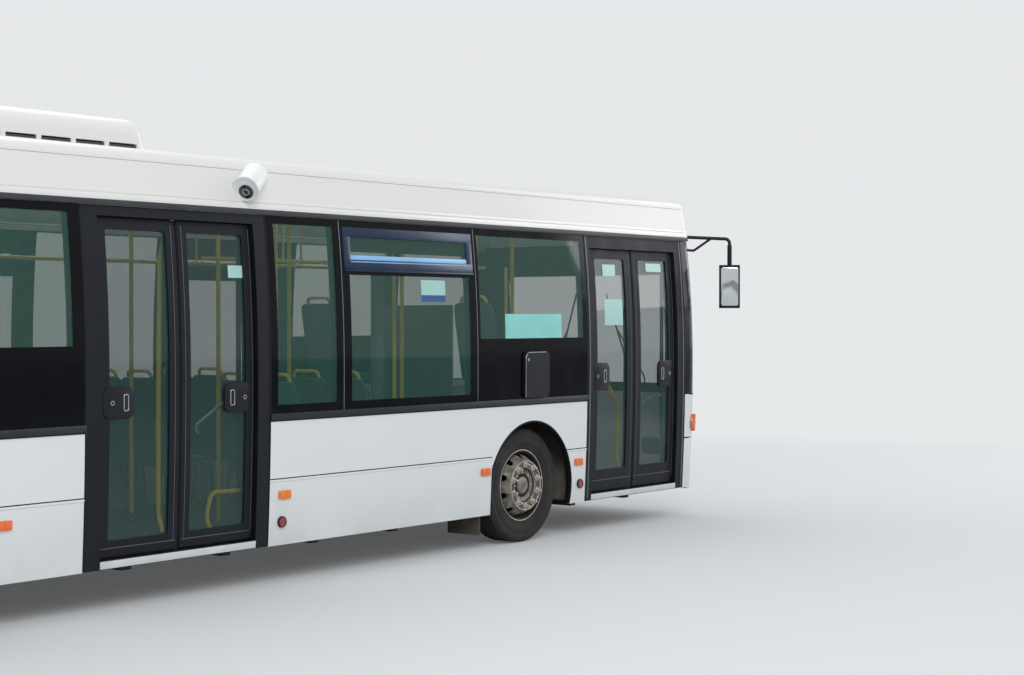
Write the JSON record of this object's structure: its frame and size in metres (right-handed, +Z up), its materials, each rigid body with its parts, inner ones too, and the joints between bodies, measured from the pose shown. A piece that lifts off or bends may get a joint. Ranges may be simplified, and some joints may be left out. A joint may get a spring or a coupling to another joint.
{
  "type": "city bus",
  "caption": "Low-entry city bus with two double doors, black glass band, white panels, steered front axle, twin rear wheels and hollow cabin.",
  "frame": {"origin": "on the ground under the middle of the overall box, mirrors included", "axes": "+X forward, +Y to the left side, +Z up"},
  "size_m": [12.3018, 3.077, 3.2099],
  "materials": {
    "white_body_paint": "gloss",
    "black_band": "gloss",
    "door_frame_paint": "satin",
    "tinted_glass": "gloss",
    "roof_white": "satin",
    "bumper_plastic": "gloss",
    "lamp_lens": "gloss",
    "red_lens": "gloss",
    "orange_lens": "gloss",
    "underbody_steel": "matte",
    "engine_iron": "matte",
    "floor_vinyl": "matte",
    "wheel_steel": "matte",
    "tyre_rubber": "matte",
    "seat_fabric": "matte",
    "black_plastic": "matte",
    "grey_plastic": "matte",
    "yellow_rail": "gloss",
    "housing_white": "gloss"
  },
  "bodies": {
    "root": {"side_panels": "white_body_paint", "skirts": "white_body_paint", "right_band": "black_band", "left_band": "black_band", "side_windows": "tinted_glass", "door_frames": "door_frame_paint", "roof": "roof_white", "roof_pod": "roof_white", "front_bumper": "bumper_plastic", "head_lamps": "lamp_lens", "front_panel": "white_body_paint", "front_pillars": "black_band", "windscreen": "tinted_glass", "rear_bumper": "bumper_plastic", "rear_panel": "white_body_paint", "rear_window": "tinted_glass", "tail_lamps": "red_lens", "wheel_boxes": "underbody_steel", "low_floor": "floor_vinyl", "rear_platform": "floor_vinyl", "chassis_frame": "underbody_steel", "engine": "engine_iron", "front_axle": "underbody_steel", "rear_axle": "underbody_steel", "seats": "seat_fabric", "driver_seat": "seat_fabric", "dashboard": "grey_plastic", "steering_wheel": "black_plastic", "driver_partition": "grey_plastic", "grab_poles": "yellow_rail", "mirrors": "black_plastic", "side_lamps": "orange_lens", "round_markers": "red_lens", "front_indicators": "orange_lens", "side_flap": "black_plastic", "camera_housing": "housing_white"},
    "left_knuckle": {"left_knuckle": "underbody_steel"},
    "right_knuckle": {"right_knuckle": "underbody_steel"},
    "front_left_wheel": {"front_left_tyre": "tyre_rubber", "front_left_rim": "wheel_steel"},
    "front_right_wheel": {"front_right_tyre": "tyre_rubber", "front_right_rim": "wheel_steel"},
    "rear_left_wheel": {"rear_left_tyres": "tyre_rubber", "rear_left_rims": "wheel_steel"},
    "rear_right_wheel": {"rear_right_tyres": "tyre_rubber", "rear_right_rims": "wheel_steel"},
    "roof_hatch": {"roof_hatch": "black_plastic"},
    "engine_door": {"engine_door": "white_body_paint"},
    "front_door_rear_leaf": {"front_door_rear_leaf": "door_frame_paint", "front_door_rear_leaf_glass": "tinted_glass"},
    "front_door_front_leaf": {"front_door_front_leaf": "door_frame_paint", "front_door_front_leaf_glass": "tinted_glass"},
    "middle_door_rear_leaf": {"middle_door_rear_leaf": "door_frame_paint", "middle_door_rear_leaf_glass": "tinted_glass"},
    "middle_door_front_leaf": {"middle_door_front_leaf": "door_frame_paint", "middle_door_front_leaf_glass": "tinted_glass"}
  },
  "joints": [
    {"name": "left_steering", "type": "hinge", "parent": "root", "child": "left_knuckle", "pos_m": [3.069, 0.89, 0.478], "axis": [0, 0, 1], "range_deg": [-38, 38]},
    {"name": "right_steering", "type": "hinge", "parent": "root", "child": "right_knuckle", "pos_m": [3.069, -0.89, 0.478], "axis": [0, 0, 1], "range_deg": [-38, 38]},
    {"name": "front_left_wheel_spin", "type": "hinge", "parent": "left_knuckle", "child": "front_left_wheel", "pos_m": [3.069, 1.07, 0.478], "axis": [0, 1, 0], "continuous": true},
    {"name": "front_right_wheel_spin", "type": "hinge", "parent": "right_knuckle", "child": "front_right_wheel", "pos_m": [3.069, -1.07, 0.478], "axis": [0, 1, 0], "continuous": true},
    {"name": "rear_left_wheel_spin", "type": "hinge", "parent": "root", "child": "rear_left_wheel", "pos_m": [-2.931, 0.915, 0.478], "axis": [0, 1, 0], "continuous": true},
    {"name": "rear_right_wheel_spin", "type": "hinge", "parent": "root", "child": "rear_right_wheel", "pos_m": [-2.931, -0.915, 0.478], "axis": [0, 1, 0], "continuous": true},
    {"name": "front_door_rear_leaf_swing", "type": "hinge", "parent": "root", "child": "front_door_rear_leaf", "pos_m": [4.049, -1.12, 1.4], "axis": [0, 0, 1], "range_deg": [0, 88]},
    {"name": "front_door_front_leaf_swing", "type": "hinge", "parent": "root", "child": "front_door_front_leaf", "pos_m": [5.359, -1.12, 1.4], "axis": [0, 0, -1], "range_deg": [0, 88]},
    {"name": "middle_door_rear_leaf_swing", "type": "hinge", "parent": "root", "child": "middle_door_rear_leaf", "pos_m": [-1.451, -1.12, 1.4], "axis": [0, 0, 1], "range_deg": [0, 88]},
    {"name": "middle_door_front_leaf_swing", "type": "hinge", "parent": "root", "child": "middle_door_front_leaf", "pos_m": [-0.151, -1.12, 1.4], "axis": [0, 0, -1], "range_deg": [0, 88]},
    {"name": "roof_hatch_lift", "type": "hinge", "parent": "root", "child": "roof_hatch", "pos_m": [-0.28, 0, 3.0003], "axis": [0, -1, 0], "range_deg": [0, 35]},
    {"name": "engine_door_lift", "type": "hinge", "parent": "root", "child": "engine_door", "pos_m": [-6.151, 0, 1.44], "axis": [0, 1, 0], "range_deg": [0, 75]}
  ],
  "couplings": [
    {"joint": "right_steering", "follows": "left_steering", "ratio": 1}
  ]
}
